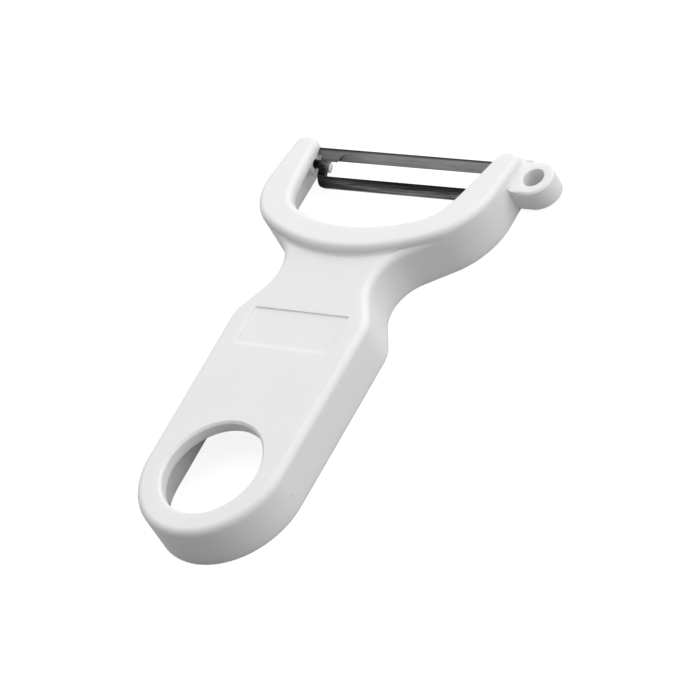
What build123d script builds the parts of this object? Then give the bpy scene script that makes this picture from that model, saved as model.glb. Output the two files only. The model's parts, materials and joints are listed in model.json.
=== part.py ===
from build123d import *
import os
from math import acos, atan2, cos, hypot, radians, sin, tan

# Handle outline, seen from above: the end of the grip is at y = 0 and the arms point along +Y
overall_length = 109.4
grip_end_radius = 17.9
shoulder_half_width = 18.17
shoulder_radius = 9.3
neck_straight = 5.07
waist_half_width = 12.94
waist_radius = 9.6
flare_straight = 7.56
head_half_width = 30.4
head_radius = 17.0
arm_straight = 13.3
tip_corner_radius = 2.4

# Handle heights: a level grip, and a head whose top falls from its front rim to the arm tips
grip_height = 10.6
rim_height = 13.1
tip_height = 8.7
draft_angle = 0.6

# Front rim of the head and the window between the arms
rim_reach = 20.5
rim_front_radius = 43.4
front_bar = 7.25
window_front_bow = 5.9
window_corner_radius = 9.0
arm_tip_width = 5.9
arm_taper = 4.3
arm_side_bow = 0.35
tip_flat = 0.5

# Moulded shell: a plate on top, a skirt round the outside, open underneath
grip_plate = 2.9
grip_skirt = 2.7
head_plate = 2.4
arm_skirt = 3.4
hollow_corner_radius = 0.8
grip_edge_radius = 1.6
head_edge_radius = 1.4
rim_foot_radius = 0.9
blend_bite = 0.06
hole_edge_chamfer = 0.5

# Hanging hole, shallow name field and the gate mark on the side wall
hanging_hole_radius = 11.75
end_band = 5.65
field_half_width = 12.6
field_setback = 6.5
field_length = 10.05
field_depth = 0.35
gate_mark_radius = 0.45
gate_mark_height = 0.15
gate_mark_z = 4.2

# Eye remover: a flat eyelet beside the tip of the right arm
eyelet_radius = 4.6
eyelet_hole_radius = 2.5
eyelet_offset = 4.0
eyelet_bottom = 0.8
eyelet_thickness = 5.2
eyelet_edge_chamfer = 0.4
eyelet_root_reach = 2.4
eyelet_root_rise = 1.4

# Pivot of the blade, shared by its pins and by the bearings in the arms
pivot_setback = 5.44
pivot_z = 5.3
pin_radius = 1.0
pin_clearance = 0.05
pin_engagement = 2.0
pin_end_gap = 0.2
bearing_gap = 0.3
bearing_margin = 1.9

# Blade: a slotted strip, its cutting bar on the far side of the pivot, with an ear at each end of it
blade_tilt = 26.0
blade_thickness = 0.8
cutting_side = 3.75
guide_side = 5.32
guide_corner_radius = 2.4
web_width = 2.1
ear_gap = 0.5
ear_length = 1.1
ear_side = 2.1
ear_corner_radius = 0.5
ear_root_radius = 0.35
slot_cutting_side = 1.06
slot_guide_side = 2.67
slot_corner_radius = 0.75
setback_inset = 2.1
bevel_setback = 0.25
bevel_width = 1.9
bevel_runout_radius = 3.8
bevel_end_slant = 1.5
edge_thickness = 0.12
channel_depth = 0.4
pin_root_length = 1.7
pin_root_taper = 1.3

overrun = 1.0


def s_curve_run(radii, shift, straight):
    """How far two circles lie apart lengthwise when a straight joins their arcs over a sideways shift."""
    return (radii**2 + straight**2 - (radii - shift) ** 2) ** 0.5


# Places along the handle, worked out from the arm tips and from the end of the grip
head_y = overall_length - arm_straight
flare = head_half_width - waist_half_width
waist_y = head_y - s_curve_run(head_radius + waist_radius, flare, flare_straight)
narrowing = shoulder_half_width - waist_half_width
shoulder_y = waist_y - s_curve_run(waist_radius + shoulder_radius, narrowing, neck_straight)
rim_front_y = head_y - rim_reach
window_front_y = rim_front_y + front_bar
hanging_hole_y = end_band + hanging_hole_radius
pivot_y = overall_length - pivot_setback

# Places across the handle and the blade, worked out from the arms' outer sides
window_mouth_half_width = head_half_width - arm_tip_width
window_front_half_width = window_mouth_half_width - arm_taper
tip_inner_radius = arm_tip_width - tip_corner_radius - tip_flat
eyelet_x = head_half_width + eyelet_offset
ear_half_length = window_mouth_half_width - ear_gap
web_half_length = ear_half_length - ear_length
bearing_face = ear_half_length + bearing_gap
pin_reach = bearing_face + pin_engagement
slot_half_length = web_half_length - web_width


def tangent_points(circle_a, circle_b):
    """Where one line touches two circles; a negative radius puts that circle on the right."""
    (ax, ay, ar), (bx, by, br) = circle_a, circle_b
    run, rise = bx - ax, by - ay
    normal = atan2(rise, run) + acos((br - ar) / hypot(run, rise))
    nx, ny = cos(normal), sin(normal)
    return (ax - ar * nx, ay - ar * ny), (bx - br * nx, by - br * ny)


def arc_through(circle, start, end):
    """The short arc of a circle between two of its points."""
    cx, cy, radius = circle
    mx, my = (start[0] + end[0]) / 2 - cx, (start[1] + end[1]) / 2 - cy
    scale = abs(radius) / hypot(mx, my)
    return ThreePointArc(start, (cx + mx * scale, cy + my * scale), end)


def handle_outline(grip_inset=0, arm_inset=0, corner_radius=tip_corner_radius):
    """Plan of the handle, or of its hollow: arcs joined by their common tangents."""
    side, end = head_half_width - arm_inset, overall_length - arm_inset
    circles = [
        (0, grip_end_radius, grip_end_radius - grip_inset),
        (shoulder_half_width - shoulder_radius, shoulder_y, shoulder_radius - grip_inset),
        (waist_half_width + waist_radius, waist_y, -waist_radius - grip_inset),
        (head_half_width - head_radius, head_y, head_radius - arm_inset),
        (side - corner_radius, end - corner_radius, corner_radius),
    ]
    start = (0, grip_inset)
    right_side = []
    for near, far in zip(circles, circles[1:]):
        leave, arrive = tangent_points(near, far)
        right_side += [arc_through(near, start, leave), Line(leave, arrive)]
        start = arrive
    right_side += [arc_through(circles[-1], start, (side - corner_radius, end))]
    right_side += [Line((side - corner_radius, end), (0, end))]
    left_side = [mirror(edge, about=Plane.YZ) for edge in right_side]
    return make_face(right_side + left_side)


def window_plan():
    """The opening between the arms: a bowed front, two rounded corners and slightly bowed, flaring sides."""
    corner_y = window_front_y + window_front_bow
    middle_x = (window_front_half_width + window_mouth_half_width) / 2 + arm_side_bow
    middle_y = (corner_y + overall_length) / 2
    left = (-window_front_half_width, corner_y)
    right = (window_front_half_width, corner_y)
    left_mouth = (-window_mouth_half_width, overall_length)
    right_mouth = (window_mouth_half_width, overall_length)
    left_past = (-window_mouth_half_width, overall_length + overrun)
    right_past = (window_mouth_half_width, overall_length + overrun)
    plan = make_face([
        ThreePointArc(left, (0, window_front_y), right),
        ThreePointArc(right, (middle_x, middle_y), right_mouth),
        Polyline(right_mouth, right_past, left_past, left_mouth),
        ThreePointArc(left_mouth, (-middle_x, middle_y), left),
    ])
    front_corners = plan.vertices().sort_by(Axis.Y)[:2]
    return fillet(front_corners, window_corner_radius)


def below_head_top(lowered=0):
    """A wedge that fills the space under the sloping top of the head, or under its plate."""
    slope = (tip_height - rim_height) / (overall_length - rim_front_y)
    near_y, far_y = rim_front_y - rim_height, overall_length + rim_height
    near_z = rim_height + slope * (near_y - rim_front_y) - lowered
    far_z = rim_height + slope * (far_y - rim_front_y) - lowered
    profile = Polyline((near_y, -overrun), (far_y, -overrun), (far_y, far_z), (near_y, near_z), close=True)
    side = Plane.YZ * make_face(profile)
    return extrude(side, head_half_width + overrun, both=True)


def rim_disc(inset=0):
    """Plan of all that lies behind the bowed front rim of the head."""
    return Pos(0, rim_front_y + rim_front_radius) * Circle(rim_front_radius - inset)


def make_grip():
    """Grip and neck: a level slab that runs in under the head, its outer top edge rounded."""
    slab_end = head_y - head_radius / 2
    clip = Pos(0, (slab_end - overrun) / 2) * Rectangle(2 * head_half_width, slab_end + overrun)
    slab = extrude(handle_outline() & clip, grip_height, taper=draft_angle)
    top = slab.faces().sort_by(Axis.Z)[-1]
    slab = fillet(top.edges().sort_by(Axis.Y)[:-1], grip_edge_radius)
    slab -= extrude(rim_disc(front_bar / 2), rim_height)
    slab -= Pos(0, hanging_hole_y) * Cylinder(hanging_hole_radius, 2 * grip_height + overrun)
    hole_edges = slab.edges().filter_by(GeomType.CIRCLE).filter_by(
        lambda edge: abs(edge.radius - hanging_hole_radius) < hole_edge_chamfer / 2)
    return chamfer(hole_edges.sort_by(Axis.Z)[-1], hole_edge_chamfer)


def make_head():
    """Raised U of the head, its arms' ends rounded and its top edge rounded all the way round."""
    block = extrude(handle_outline() & rim_disc(), rim_height + overrun, taper=draft_angle)
    block = (block - extrude(window_plan(), rim_height + overrun, taper=-draft_angle)) & below_head_top()
    upright = block.edges().filter_by(lambda edge: abs(edge.tangent_at(0).Z) > cos(radians(45)))
    tips = upright.filter_by(lambda edge: edge.center().Y > overall_length - tip_corner_radius / 2)
    arm_middle = (window_mouth_half_width + head_half_width) / 2
    inner_tips = tips.filter_by(lambda edge: abs(edge.center().X) < arm_middle)
    block = fillet(inner_tips, tip_inner_radius)
    top = block.faces().filter_by(lambda face: face.normal_at(None).Z > cos(radians(45)))[0]
    return fillet(top.edges(), head_edge_radius)


def make_rim_foot():
    """Concave blend where the front rim of the head rises out of the grip."""
    wall = rim_front_radius - grip_height * tan(radians(draft_angle)) - blend_bite
    foot, back = wall + rim_foot_radius, wall - overrun
    top = grip_height + rim_foot_radius
    profile = make_face([
        RadiusArc((foot, grip_height), (wall, top), rim_foot_radius),
        Polyline((wall, top), (back, top), (back, grip_height), (foot, grip_height)),
    ])
    ring = revolve(Plane.XZ * profile, Axis.Z)
    inside = extrude(handle_outline(grip_edge_radius, grip_edge_radius), rim_height)
    return Pos(0, rim_front_y + rim_front_radius) * ring & inside - extrude(window_plan(), rim_height)


def make_hollow():
    """The space underneath, open at the bottom: level in the grip, sloping in the head."""
    plan = handle_outline(grip_skirt, arm_skirt, hollow_corner_radius)
    clip = Pos(0, head_y / 2) * Rectangle(2 * head_half_width, head_y)
    grip_hollow = extrude(plan & clip, grip_height - grip_plate)
    head_hollow = extrude(plan & rim_disc(arm_skirt), rim_height) & below_head_top(head_plate)
    return grip_hollow + head_hollow


def make_bearing():
    """A block under the right arm's plate, against the tip, that takes a pin of the blade."""
    start_y, end_y = pivot_y - bearing_margin, overall_length - arm_skirt / 2
    end_x = head_half_width - arm_skirt / 2
    middle = ((bearing_face + end_x) / 2, (start_y + end_y) / 2, pivot_z - bearing_margin)
    block = extrude(Pos(*middle) * Rectangle(end_x - bearing_face, end_y - start_y), rim_height)
    inner_end = block.edges().filter_by(Axis.Z).sort_by(Axis.Y)[-2:].sort_by(Axis.X)[0]
    return fillet(inner_end, tip_inner_radius / 2) & below_head_top(head_plate / 2)


def make_bore():
    """Clearance for one pin: a blind hole in the bearing's face."""
    start = Plane.YZ.offset(web_half_length) * Pos(pivot_y, pivot_z)
    return extrude(start * Circle(pin_radius + pin_clearance), pin_reach + pin_end_gap - web_half_length)


def make_eyelet():
    """Flat eyelet flush with the right arm's tip, blended up into the arm's wall and round its corner."""
    centre_y = overall_length - eyelet_radius
    root_x = head_half_width - arm_skirt / 2
    tab = Pos((root_x + eyelet_x) / 2, centre_y) * Rectangle(eyelet_x - root_x, 2 * eyelet_radius)
    plan = tab + Pos(eyelet_x, centre_y) * Circle(eyelet_radius)
    eyelet = extrude(Pos(0, 0, eyelet_bottom) * plan, eyelet_thickness)
    eyelet = chamfer(eyelet.edges().filter_by(GeomType.CIRCLE).sort_by(Axis.Z)[-1], eyelet_edge_chamfer)
    eyelet += make_eyelet_root() & extrude(plan, rim_height)
    return eyelet - Pos(eyelet_x, centre_y) * Cylinder(eyelet_hole_radius, 2 * rim_height)


def make_eyelet_root():
    """Concave blend along the arm's outer wall, carried round the tip's corner."""
    low_z = eyelet_bottom + eyelet_thickness
    high_z = low_z + eyelet_root_rise
    inner, wall, foot = tip_corner_radius / 2, tip_corner_radius, tip_corner_radius + eyelet_root_reach
    profile = Plane.XZ * make_face([
        Bezier((foot, low_z), (wall, low_z), (wall, high_z)),
        Polyline((wall, high_z), (inner, high_z), (inner, low_z), (foot, low_z)),
    ])
    corner = Pos(head_half_width - tip_corner_radius, overall_length - tip_corner_radius)
    along = extrude(profile, 2 * eyelet_radius)
    return corner * (along + revolve(profile, Axis.Z, revolution_arc=90))


def make_gate_mark():
    """The small round witness of the moulding gate on the grip's right side."""
    start = Plane.YZ.offset(grip_end_radius - grip_skirt / 2) * Pos(grip_end_radius, gate_mark_z)
    return extrude(start * Circle(gate_mark_radius), grip_skirt / 2 + gate_mark_height)


def make_handle():
    shell = make_grip() + make_head() + make_rim_foot() - make_hollow()
    bearing = make_bearing()
    bore = make_bore()
    shell += [bearing, mirror(bearing, about=Plane.YZ), make_eyelet(), make_gate_mark()]
    shell -= [bore, mirror(bore, about=Plane.YZ)]
    field = Pos(0, shoulder_y - field_setback + field_length / 2, grip_height - field_depth)
    return shell - field * extrude(Rectangle(2 * field_half_width, field_length), overrun)


def blade_section():
    """Section across the blade: flat as far as the slot, then dished along the guide bar."""
    half = blade_thickness / 2
    middle = -(slot_guide_side + guide_side) / 2
    return make_face([
        Line((-slot_guide_side, half), (cutting_side, half)),
        Line((cutting_side, half), (cutting_side, -half)),
        Line((cutting_side, -half), (-slot_guide_side, -half)),
        ThreePointArc((-slot_guide_side, -half), (middle, -half - channel_depth), (-guide_side, -half)),
        Line((-guide_side, -half), (-guide_side, half)),
        ThreePointArc((-guide_side, half), (middle, half - channel_depth), (-slot_guide_side, half)),
    ])


def slot_plan():
    """The slot: round corners, and a set-back edge where the bevel was ground."""
    uncut = slot_cutting_side - bevel_setback
    slot = Pos(0, (uncut - slot_guide_side) / 2) * Rectangle(2 * slot_half_length, uncut + slot_guide_side)
    slot = fillet(slot.vertices(), slot_corner_radius)
    ground = Rectangle(2 * slot_half_length - setback_inset, 2 * slot_cutting_side)
    return slot + Pos(setback_inset / 2, 0) * ground


def blade_plan():
    """Outline of the strip, laid flat with its pivot line on the X axis, with an ear beyond each pin."""
    web = Pos(0, (cutting_side - guide_side) / 2) * Rectangle(2 * web_half_length, cutting_side + guide_side)
    ears = Pos(0, (cutting_side + ear_side) / 2) * Rectangle(2 * ear_half_length, cutting_side - ear_side)
    strip = web + ears
    strip = fillet(strip.vertices().group_by(Axis.Y)[0], guide_corner_radius)
    ends = (web_half_length + ear_half_length) / 2
    strip = fillet(strip.vertices().filter_by(lambda v: abs(v.X) > ends), ear_corner_radius)
    roots = strip.vertices().filter_by(lambda v: abs(v.Y - ear_side) < ear_root_radius and abs(v.X) < ends)
    return fillet(roots, ear_root_radius) - slot_plan()


def make_bevel():
    """What grinding takes off one face along the slot: curved run-out at the left, slanted end at the right."""
    half = blade_thickness / 2
    bevel_start = slot_cutting_side + bevel_width
    slope = (blade_thickness - edge_thickness) / bevel_width
    past = slot_cutting_side + overrun
    top, bottom = half + slope * overrun, half - slope * (bevel_width + past)
    wedge = make_face(Polyline((bevel_start + overrun, top), (-overrun, bottom), (-overrun, top), close=True))
    wedge = extrude(Plane.YZ * wedge, ear_half_length, both=True)
    left, low = setback_inset - slot_half_length, bevel_start - 2 * bevel_runout_radius
    sweep = make_face(Polyline(
        (left, bevel_start), (left, low), (slot_half_length, low), (slot_half_length, slot_cutting_side),
        (slot_half_length + bevel_end_slant, bevel_start), close=True))
    corner = sweep.vertices().group_by(Axis.Y)[-1].sort_by(Axis.X)[0]
    sweep = fillet(corner, bevel_runout_radius)
    return wedge & extrude(sweep, blade_thickness, both=True)


def make_pin():
    """A pin drawn out of the right end web, its root tapering into the sheet."""
    root_x = web_half_length - pin_root_length
    profile = make_face(Polyline(
        (root_x, 0), (root_x, blade_thickness / 2), (root_x + pin_root_taper, pin_radius),
        (pin_reach, pin_radius), (pin_reach, 0), close=True))
    return revolve(profile, Axis.X)


def make_blade():
    strip = extrude(Plane.YZ * blade_section(), ear_half_length, both=True)
    strip &= extrude(blade_plan(), guide_side, both=True)
    pin = make_pin()
    blade = strip - make_bevel() + [pin, mirror(pin, about=Plane.YZ)]
    return Pos(0, pivot_y, pivot_z) * Rot(blade_tilt, 0, 0) * blade


middle_x = (eyelet_x + eyelet_radius - head_half_width) / 2
to_reference_point = Pos(-middle_x, -overall_length / 2, 0)
os.makedirs("parts", exist_ok=True)
for name, shape in {"handle": make_handle(), "blade": make_blade()}.items():
    export_step(to_reference_point * shape, f"parts/{name}.step")
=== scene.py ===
import json
import math

import bpy
from mathutils import Matrix, Vector

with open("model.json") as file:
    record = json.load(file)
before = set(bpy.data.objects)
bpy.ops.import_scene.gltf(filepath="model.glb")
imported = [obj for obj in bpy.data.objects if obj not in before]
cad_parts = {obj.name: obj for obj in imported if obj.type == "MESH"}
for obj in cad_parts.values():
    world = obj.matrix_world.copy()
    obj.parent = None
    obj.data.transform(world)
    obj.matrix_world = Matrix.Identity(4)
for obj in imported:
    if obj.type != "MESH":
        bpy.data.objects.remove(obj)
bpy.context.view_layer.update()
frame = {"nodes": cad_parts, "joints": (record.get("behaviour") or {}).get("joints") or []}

mm = 0.001

hinge = frame["joints"][0]
pivot = Vector(hinge["pos_m"])

print("frame loaded:", ", ".join(sorted(frame["nodes"])))


# camera: the photograph's own angle, solved from the handle's outline

cameraLook = {
    "azimuth": 52.43,         # degrees round from -Y towards +X
    "elevation": 40.78,
    "roll": -33.36,
    "distance": 808.1 * mm,
    "target": (3.52 * mm, 3.85 * mm, 0.0),
    "lens": 195.43,           # mm on a 36 mm sensor
    "sensor": 36.0,
    "nearest": 0.01,          # metres, what the camera sees from and to
    "furthest": 20.0,
}


def addCamera(look):
    azimuth, elevation = math.radians(look["azimuth"]), math.radians(look["elevation"])
    roll = math.radians(look["roll"])
    back = Vector((math.sin(azimuth) * math.cos(elevation), -math.cos(azimuth) * math.cos(elevation),
                   math.sin(elevation)))
    level = Vector((math.cos(azimuth), math.sin(azimuth), 0))
    upright = back.cross(level)
    right = level * math.cos(roll) + upright * math.sin(roll)
    up = upright * math.cos(roll) - level * math.sin(roll)
    camera = bpy.data.objects.new("camera", bpy.data.cameras.new("camera"))
    bpy.context.scene.collection.objects.link(camera)
    turn = Matrix((right, up, back)).transposed()
    place = Vector(look["target"]) + back * look["distance"]
    camera.matrix_world = Matrix.Translation(place) @ turn.to_4x4()
    camera.data.lens = look["lens"]
    camera.data.sensor_width = look["sensor"]
    camera.data.clip_start = look["nearest"]
    camera.data.clip_end = look["furthest"]
    bpy.context.scene.camera = camera


addCamera(cameraLook)
print("camera placed")


# light: a big soft box above and beyond the blade, a low one on the eyelet's side, and a room that is
# brighter beyond the blade than behind the grip

lamps = [
    {"name": "overhead", "size": 1.6, "power": 8.4, "place": (-0.15, 0.45, 1.15)},
    {"name": "sideBox", "size": 1.2, "power": 6.5, "place": (0.95, 0.32, 0.28)},
]

roomLook = {
    "lightLevel": 0.48,       # what the room adds to the object, level with it
    "lean": 0.72,             # share by which that rises towards +Y and falls towards -Y
    "backdrop": 1.0,          # what the camera, gloss and glass see
}

floorLook = {
    "size": 6.0,
    "drop": 0.02 * mm,        # keeps the floor just under the rim
    "colour": (0.31, 0.31, 0.31),
    "whiteness": 0.86,        # added only where it is seen directly
}


def addLamp(spec):
    lamp = bpy.data.lights.new(spec["name"], "AREA")
    lamp.size = spec["size"]
    lamp.energy = spec["power"]
    obj = bpy.data.objects.new(spec["name"], lamp)
    bpy.context.scene.collection.objects.link(obj)
    obj.location = spec["place"]
    obj.rotation_mode = "QUATERNION"
    obj.rotation_quaternion = Vector(spec["place"]).to_track_quat("Z", "Y")


def addNode(tree, kind, **settings):
    node = tree.nodes.new("ShaderNode" + kind)
    for key, value in settings.items():
        setattr(node, key, value)
    return node


def seenDirectly(tree):
    # 1 for rays from the camera, off gloss or through glass
    path = addNode(tree, "LightPath")
    largest = path.outputs["Is Camera Ray"]
    for other in ("Is Glossy Ray", "Is Transmission Ray"):
        pick = addNode(tree, "Math", operation="MAXIMUM")
        tree.links.new(largest, pick.inputs[0])
        tree.links.new(path.outputs[other], pick.inputs[1])
        largest = pick.outputs[0]
    return largest


def addRoom(look):
    world = bpy.data.worlds.new("room")
    bpy.context.scene.world = world
    world.use_nodes = True
    tree = world.node_tree
    tree.nodes.clear()
    dim = addNode(tree, "Background")
    dim.inputs["Color"].default_value = (1, 1, 1, 1)
    direction = addNode(tree, "TexCoord")
    parts = addNode(tree, "SeparateXYZ")
    tree.links.new(direction.outputs["Generated"], parts.inputs[0])
    level, lean = look["lightLevel"], look["lean"]
    strength = addRange(tree, parts.outputs["Y"], -1.0, 1.0, level * (1 - lean), level * (1 + lean))
    tree.links.new(strength, dim.inputs["Strength"])
    white = addNode(tree, "Background")
    white.inputs["Color"].default_value = (1, 1, 1, 1)
    white.inputs["Strength"].default_value = look["backdrop"]
    mix = addNode(tree, "MixShader")
    tree.links.new(seenDirectly(tree), mix.inputs[0])
    tree.links.new(dim.outputs[0], mix.inputs[1])
    tree.links.new(white.outputs[0], mix.inputs[2])
    out = addNode(tree, "OutputWorld")
    tree.links.new(mix.outputs[0], out.inputs["Surface"])


def addFloor(look):
    bpy.ops.object.select_all(action="DESELECT")
    bpy.ops.mesh.primitive_plane_add(size=look["size"], location=(0, 0, -look["drop"]))
    bpy.ops.object.transform_apply(location=True, rotation=True, scale=True)
    floor = bpy.context.object
    floor.name = "floor"
    paper = bpy.data.materials.new("palePaper")
    paper.use_nodes = True
    tree = paper.node_tree
    tree.nodes.clear()
    matt = addNode(tree, "BsdfDiffuse")
    matt.inputs["Color"].default_value = (*look["colour"], 1)
    glow = addNode(tree, "Emission")
    glow.inputs["Strength"].default_value = look["whiteness"]
    nothing = addNode(tree, "Emission")
    nothing.inputs["Strength"].default_value = 0
    pick = addNode(tree, "MixShader")
    tree.links.new(seenDirectly(tree), pick.inputs[0])
    tree.links.new(nothing.outputs[0], pick.inputs[1])
    tree.links.new(glow.outputs[0], pick.inputs[2])
    both = addNode(tree, "AddShader")
    tree.links.new(matt.outputs[0], both.inputs[0])
    tree.links.new(pick.outputs[0], both.inputs[1])
    out = addNode(tree, "OutputMaterial")
    tree.links.new(both.outputs[0], out.inputs["Surface"])
    floor.data.materials.append(paper)


# small helpers for the node trees; a value may be a number or another node's output

def feed(tree, socket, value):
    if isinstance(value, (int, float)):
        socket.default_value = value
    elif isinstance(value, tuple):
        socket.default_value = (*value, 1)
    else:
        tree.links.new(value, socket)


def addMath(tree, operation, first, second=None, clamp=False):
    node = addNode(tree, "Math", operation=operation, use_clamp=clamp)
    feed(tree, node.inputs[0], first)
    if second is not None:
        feed(tree, node.inputs[1], second)
    return node.outputs[0]


def addRange(tree, value, low, high, toLow, toHigh, smooth=False):
    node = addNode(tree, "MapRange", clamp=True)
    node.interpolation_type = "SMOOTHSTEP" if smooth else "LINEAR"
    tree.links.new(value, node.inputs["Value"])
    for key, number in (("From Min", low), ("From Max", high), ("To Min", toLow), ("To Max", toHigh)):
        feed(tree, node.inputs[key], number)
    return node.outputs["Result"]


def addNoise(tree, vector, scale, detail=3.0, roughness=0.5):
    node = addNode(tree, "TexNoise")
    tree.links.new(vector, node.inputs["Vector"])
    feed(tree, node.inputs["Scale"], scale)
    node.inputs["Detail"].default_value = detail
    node.inputs["Roughness"].default_value = roughness
    return node.outputs["Fac"]


def stretch(tree, vector, factors, turn=0.0):
    node = addNode(tree, "Mapping")
    tree.links.new(vector, node.inputs["Vector"])
    node.inputs["Scale"].default_value = factors
    node.inputs["Rotation"].default_value = (0, 0, math.radians(turn))
    return node.outputs["Vector"]


for spec in lamps:
    addLamp(spec)
addRoom(roomLook)
addFloor(floorLook)
bpy.context.scene.view_settings.view_transform = "Standard"
print("lamps, room and floor set")


# shared effects, each a node group built once, with scales per millimetre

def newGroup(name, inputs, outputs):
    group = bpy.data.node_groups.new(name, "ShaderNodeTree")
    for socket, kind in [("Vector", "NodeSocketVector")] + [(socket, "NodeSocketFloat") for socket in inputs]:
        group.interface.new_socket(name=socket, in_out="INPUT", socket_type=kind)
    for socket in outputs:
        group.interface.new_socket(name=socket, in_out="OUTPUT", socket_type="NodeSocketFloat")
    return group, group.nodes.new("NodeGroupInput"), group.nodes.new("NodeGroupOutput")


skinLook = {
    "cloudDetail": 4.0,
    "cloudRoughness": 0.6,
    "cloudFrom": 0.3,         # noise values where the clouds begin and are full
    "cloudTo": 0.7,
    "grainDetail": 2.0,
    "grainRoughness": 0.55,
    "hairSets": [             # two sets of scratches: their turn in degrees, and how fine they are
        (24.0, 1.0),
        (-51.0, 1.35),
    ],
    "hairLong": 0.05,         # along a scratch, across it, and in depth
    "hairThin": 2.4,
    "hairDeep": 0.7,
    "hairFrom": 0.735,
    "hairTo": 0.76,
    "breakScale": 0.11,       # where the scratches are and where there are none
    "breakFrom": 0.48,
    "breakTo": 0.6,
}


# moulded plastic: fine spark-eroded grain, slow flow clouds and a few hair scratches
def makeMouldedSkin(look):
    group, start, end = newGroup("mouldedSkin", ["Grain Scale", "Cloud Scale", "Scratches"],
                                 ["Cloud", "Grain", "Scratch"])
    vector = start.outputs["Vector"]
    clouds = addNoise(group, vector, start.outputs["Cloud Scale"], look["cloudDetail"], look["cloudRoughness"])
    clouds = addRange(group, clouds, look["cloudFrom"], look["cloudTo"], 0.0, 1.0, True)
    group.links.new(clouds, end.inputs["Cloud"])
    grain = addNoise(group, vector, start.outputs["Grain Scale"], look["grainDetail"], look["grainRoughness"])
    group.links.new(grain, end.inputs["Grain"])
    scratch = None
    for turn, fineness in look["hairSets"]:
        factors = (look["hairLong"] * fineness, look["hairThin"] * fineness, look["hairDeep"])
        hair = addNoise(group, stretch(group, vector, factors, turn), 1.0, 1.0)
        line = addRange(group, hair, look["hairFrom"], look["hairTo"], 0.0, 1.0)
        scratch = line if scratch is None else addMath(group, "MAXIMUM", scratch, line)
    broken = addNoise(group, vector, look["breakScale"], 2.0)
    broken = addRange(group, broken, look["breakFrom"], look["breakTo"], 0.0, 1.0, True)
    scratch = addMath(group, "MULTIPLY", scratch, broken)
    scratch = addMath(group, "MULTIPLY", scratch, start.outputs["Scratches"])
    group.links.new(scratch, end.inputs["Scratch"])
    return group


edgeLook = {
    "samples": 4,
    "flat": 0.995,            # how alike the rounded and the real normal are, unworn and fully worn
    "turned": 0.90,
    "patchScale": 0.45,
    "patchFrom": 0.38,
    "patchTo": 0.62,
    "leastWorn": 0.25,        # what is left of the wear between patches
}


# worn edges: where the surface turns within a short radius, broken up by noise
def makeEdgeWear(look):
    group, start, end = newGroup("edgeWear", ["Radius", "Amount"], ["Wear"])
    rounded = addNode(group, "Bevel", samples=look["samples"])
    group.links.new(start.outputs["Radius"], rounded.inputs["Radius"])
    real = addNode(group, "NewGeometry")
    dot = addNode(group, "VectorMath", operation="DOT_PRODUCT")
    group.links.new(rounded.outputs["Normal"], dot.inputs[0])
    group.links.new(real.outputs["Normal"], dot.inputs[1])
    turned = addRange(group, dot.outputs["Value"], look["flat"], look["turned"], 0.0, 1.0)
    patchy = addNoise(group, start.outputs["Vector"], look["patchScale"], 3.0)
    patchy = addRange(group, patchy, look["patchFrom"], look["patchTo"], look["leastWorn"], 1.0, True)
    worn = addMath(group, "MULTIPLY", turned, patchy)
    worn = addMath(group, "MULTIPLY", worn, start.outputs["Amount"], True)
    group.links.new(worn, end.inputs["Wear"])
    return group


# each kind of streak: how it is drawn out along and across the strip, its noise, and where it starts and is full
streakLook = {
    "Streak": {"along": 0.10, "across": 3.2, "detail": 3.0, "roughness": 0.6, "low": 0.3, "high": 0.7},
    "Fine": {"along": 0.04, "across": 1.0, "detail": 2.0, "roughness": 0.7, "low": 0.25, "high": 0.75},
    "Blotch": {"along": 0.22, "across": 0.8, "detail": 4.0, "roughness": 0.65, "low": 0.35, "high": 0.65},
}


# rolled and ground steel: long fine streaks in the direction of the strip
def makeSteelStreaks(looks):
    group, start, end = newGroup("steelStreaks", ["Fineness"], list(looks))
    for name, look in looks.items():
        drawn = stretch(group, start.outputs["Vector"], (look["along"], look["across"], look["across"]))
        scale = start.outputs["Fineness"] if name == "Fine" else 1.0
        noise = addNoise(group, drawn, scale, look["detail"], look["roughness"])
        noise = addRange(group, noise, look["low"], look["high"], 0.0, 1.0, name == "Blotch")
        group.links.new(noise, end.inputs[name])
    return group


mouldedSkin = makeMouldedSkin(skinLook)
edgeWear = makeEdgeWear(edgeLook)
steelStreaks = makeSteelStreaks(streakLook)
print("shared effects built")


# finishes

def newMaterial(name):
    material = bpy.data.materials.new(name)
    material.use_nodes = True
    tree = material.node_tree
    return material, tree, tree.nodes["Principled BSDF"]


def useGroup(tree, group, vector, values):
    node = tree.nodes.new("ShaderNodeGroup")
    node.node_tree = group
    tree.links.new(vector, node.inputs["Vector"])
    for key, value in values.items():
        node.inputs[key].default_value = value
    return node


def mixColour(tree, amount, first, second):
    node = addNode(tree, "Mix", data_type="RGBA", clamp_factor=True)
    feed(tree, node.inputs["Factor"], amount)
    feed(tree, node.inputs[6], first)
    feed(tree, node.inputs[7], second)
    return node.outputs[2]


def addBump(tree, height, strength, depth):
    node = addNode(tree, "Bump")
    node.inputs["Strength"].default_value = strength
    node.inputs["Distance"].default_value = depth
    tree.links.new(height, node.inputs["Height"])
    return node


def millimetres(tree, centre=(0, 0, 0), tilt=0.0):
    # the piece's own coordinates, in millimetres from a chosen point and turned about X
    place = addNode(tree, "TexCoord")
    own = addNode(tree, "Mapping", vector_type="TEXTURE")
    own.inputs["Location"].default_value = centre
    own.inputs["Rotation"].default_value = (math.radians(tilt), 0, 0)
    own.inputs["Scale"].default_value = (mm, mm, mm)
    tree.links.new(place.outputs["Object"], own.inputs["Vector"])
    return own.outputs["Vector"]


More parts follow.
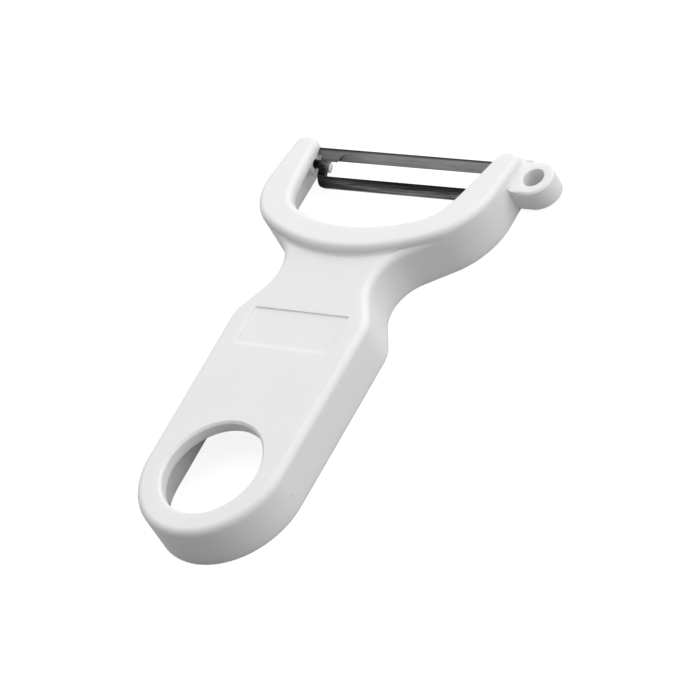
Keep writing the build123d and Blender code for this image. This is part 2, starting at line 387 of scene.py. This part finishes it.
handleLook = {
    "white": (0.855, 0.855, 0.855),
    "greyer": (0.83, 0.832, 0.835),
    "rubbed": (0.87, 0.87, 0.87),
    "scratched": (0.78, 0.785, 0.79),
    "dullest": 0.58,          # roughness, from cloud to cloud
    "glossiest": 0.48,
    "rubbedGloss": 0.12,      # taken off the roughness where edges are rubbed
    "scratchDullness": 0.2,   # and added in scratches
    "ior": 1.49,
    "grainScale": 3.2,        # bumps per millimetre
    "grainDepth": 0.012 * mm,
    "cloudScale": 0.035,
    "sinkDepth": 0.05 * mm,
    "bumpStrength": 0.5,
    "scratches": 0.5,
    "wear": 0.25,
    "wearRadius": 0.7 * mm,
    "translucence": 0.6,
    "reach": 1.4 * mm,        # how far light spreads inside the plastic
}


def makeHandlePlastic(look):
    material, tree, shader = newMaterial("whitePlastic")
    place = millimetres(tree)
    skin = useGroup(tree, mouldedSkin, place, {
        "Grain Scale": look["grainScale"], "Cloud Scale": look["cloudScale"], "Scratches": look["scratches"]})
    worn = useGroup(tree, edgeWear, place, {"Radius": look["wearRadius"], "Amount": look["wear"]})
    tone = mixColour(tree, skin.outputs["Cloud"], look["white"], look["greyer"])
    tone = mixColour(tree, worn.outputs["Wear"], tone, look["rubbed"])
    tone = mixColour(tree, skin.outputs["Scratch"], tone, look["scratched"])
    tree.links.new(tone, shader.inputs["Base Color"])
    gloss = addRange(tree, skin.outputs["Cloud"], 0.0, 1.0, look["dullest"], look["glossiest"])
    rubbing = addMath(tree, "MULTIPLY", worn.outputs["Wear"], look["rubbedGloss"])
    gloss = addMath(tree, "SUBTRACT", gloss, rubbing)
    scoring = addMath(tree, "MULTIPLY", skin.outputs["Scratch"], look["scratchDullness"])
    gloss = addMath(tree, "ADD", gloss, scoring, True)
    tree.links.new(gloss, shader.inputs["Roughness"])
    shader.inputs["IOR"].default_value = look["ior"]
    shader.inputs["Subsurface Weight"].default_value = look["translucence"]
    shader.inputs["Subsurface Radius"].default_value = (1.0, 1.0, 1.0)
    shader.inputs["Subsurface Scale"].default_value = look["reach"]
    grain = addBump(tree, skin.outputs["Grain"], look["bumpStrength"], look["grainDepth"])
    sink = addBump(tree, skin.outputs["Cloud"], look["bumpStrength"], look["sinkDepth"])
    tree.links.new(grain.outputs["Normal"], sink.inputs["Normal"])
    tree.links.new(sink.outputs["Normal"], shader.inputs["Normal"])
    return material


# the blade's places are in millimetres: along the strip from its middle, and across it from the pivot,
# where the guide bar is on the minus side and the cutting bar on the plus side
bladeLook = {
    "tilt": 26.0,             # degrees, as the blade lies in its bearings
    "steelAndReflectionBands": [                # the dark steel's tone across the strip with painted reflections, from the guide bar's edge to the cutting bar's back: the guide bar painted dark as if mirroring dark surroundings, the cutting bar painted lighter
        (-5.32, 0.030), (-4.9, 0.070), (-4.3, 0.062), (-3.6, 0.030), (-3.0, 0.016), (-0.3, 0.022),
        (0.55, 0.085), (1.0, 0.090), (1.25, 0.200), (2.9, 0.225), (3.15, 0.165), (3.42, 0.050), (3.75, 0.040),
    ],
    "blueness": 1.02,
    "guideFull": -2.6,        # the guide bar ends between these two, and the end webs begin
    "guideEnd": -1.8,
    "webEnd": 0.2,            # the webs end between these two, and the cutting bar begins
    "barFull": 1.1,
    "guideSheenClimb": 1.2,        # how far the guide bar's light band, a painted sheen, has climbed at the strip's left end
    "driftFrom": -19.0,
    "driftTo": -5.0,
    "webSkew": 1.2,           # how far the painted reflection tones lean across an end web
    "webInner": 20.8,
    "webOuter": 23.0,
    "grindAndShadeFrom": -19.5,      # where the darkening of the left end is full along the strip, and where it is gone: partly the flat steel beyond the bevel's run-out, where the grinding stops, partly painted shade
    "grindAndShadeTo": -6.0,
    "ungroundAndShadedEnd": 0.58,         # the cutting bar's tone at the left end, flat steel and painted shade, against the full tone
    "grindAndShadeLow": -0.4,        # and from where to where across the strip that fades in
    "groundHigh": 0.6,
    "groundStreaks": 0.16,    # how far the streaks change the tone, on the cutting bar
    "rolledStreaksAndGlints": 0.75,    # and on the guide bar and webs, where they are brushing streaks and painted glints
    "rolledEnd": -1.0,
    "groundStart": 0.8,
    "broadShare": 0.6,        # broad and fine streaks in that change
    "fineShare": 0.4,
    "fineness": 9.0,
    "streakLow": 0.2,
    "streakHigh": 0.8,
    "dullest": 0.42,          # roughness, from blotch to blotch
    "glossiest": 0.26,
    "fineDullness": 0.08,     # added by the fine streaks
    "bare": (0.30, 0.30, 0.305),
    "wear": 0.35,
    "wearRadius": 0.12 * mm,
    "streakDepth": 0.006 * mm,
    "bumpStrength": 0.6,
}


def makeBladeSteel(look):
    material, tree, shader = newMaterial("darkSteelPaintedReflections")
    place = millimetres(tree, pivot, look["tilt"])
    parts = addNode(tree, "SeparateXYZ")
    tree.links.new(place, parts.inputs[0])
    along, across = parts.outputs["X"], parts.outputs["Y"]

    # the place that each point takes its painted reflection tone from
    onGuide = addRange(tree, across, look["guideFull"], look["guideEnd"], 1.0, 0.0)
    offBar = addRange(tree, across, look["webEnd"], look["barFull"], 1.0, 0.0)
    onWeb = addMath(tree, "SUBTRACT", offBar, onGuide)
    # painted sheen: the guide bar's light band moves towards its edge at the left end
    sheenClimb = addRange(tree, along, look["driftFrom"], look["driftTo"], look["guideSheenClimb"], 0.0)
    fromMiddle = addMath(tree, "ABSOLUTE", along)
    skew = addRange(tree, fromMiddle, look["webInner"], look["webOuter"], -look["webSkew"], look["webSkew"])
    shifted = addMath(tree, "SUBTRACT", across, addMath(tree, "MULTIPLY", onGuide, sheenClimb))
    shifted = addMath(tree, "SUBTRACT", shifted, addMath(tree, "MULTIPLY", onWeb, skew))

    low, high = look["steelAndReflectionBands"][0][0], look["steelAndReflectionBands"][-1][0]
    # painted reflections: the dark steel's tones across the strip, as the bands give them
    ramp = addNode(tree, "ValToRGB")
    tree.links.new(addRange(tree, shifted, low, high, 0.0, 1.0), ramp.inputs["Fac"])
    stops = ramp.color_ramp.elements
    for position, tone in look["steelAndReflectionBands"][1:-1]:
        stop = stops.new((position - low) / (high - low))
        stop.color = (tone, tone, tone * look["blueness"], 1)
    for stop, (position, tone) in ((stops[0], look["steelAndReflectionBands"][0]), (stops[-1], look["steelAndReflectionBands"][-1])):
        stop.color = (tone, tone, tone * look["blueness"], 1)

    # streaks with painted glints, and the left end's flat steel with painted shade, as a factor on that tone
    lines = useGroup(tree, steelStreaks, place, {"Fineness": look["fineness"]})
    worn = useGroup(tree, edgeWear, place, {"Radius": look["wearRadius"], "Amount": look["wear"]})
    broad = addMath(tree, "MULTIPLY", lines.outputs["Streak"], look["broadShare"])
    fine = addMath(tree, "MULTIPLY", lines.outputs["Fine"], look["fineShare"])
    streaky = addMath(tree, "ADD", broad, fine)
    # painted glints: the streaks lighten and darken the guide bar and webs far more than the cutting bar
    swing = addRange(tree, across, look["rolledEnd"], look["groundStart"], look["rolledStreaksAndGlints"],
                     look["groundStreaks"])
    darkest, lightest = addMath(tree, "SUBTRACT", 1.0, swing), addMath(tree, "ADD", 1.0, swing)
    gain = addRange(tree, streaky, look["streakLow"], look["streakHigh"], darkest, lightest)
    # painted shade: the cutting bar darker towards the left end, besides the flat steel beyond the bevel
    ground = addRange(tree, along, look["grindAndShadeFrom"], look["grindAndShadeTo"], look["ungroundAndShadedEnd"], 1.0, True)
    upper = addRange(tree, across, look["grindAndShadeLow"], look["groundHigh"], 1.0, ground, True)
    gain = addMath(tree, "MULTIPLY", gain, upper)
    tone = addNode(tree, "VectorMath", operation="SCALE")
    tree.links.new(ramp.outputs["Color"], tone.inputs[0])
    tree.links.new(gain, tone.inputs["Scale"])
    colour = mixColour(tree, worn.outputs["Wear"], tone.outputs["Vector"], look["bare"])
    tree.links.new(colour, shader.inputs["Base Color"])
    shader.inputs["Metallic"].default_value = 1.0

    gloss = addRange(tree, lines.outputs["Blotch"], 0.0, 1.0, look["dullest"], look["glossiest"])
    dulling = addMath(tree, "MULTIPLY", lines.outputs["Fine"], look["fineDullness"])
    gloss = addMath(tree, "ADD", gloss, dulling, True)
    tree.links.new(gloss, shader.inputs["Roughness"])
    ridges = addBump(tree, lines.outputs["Fine"], look["bumpStrength"], look["streakDepth"])
    tree.links.new(ridges.outputs["Normal"], shader.inputs["Normal"])
    return material


def dress(node, material):
    obj = frame["nodes"][node]
    obj.data.materials.clear()
    obj.data.materials.append(material)


dress("handle", makeHandlePlastic(handleLook))
dress("blade", makeBladeSteel(bladeLook))
print("finishes on")
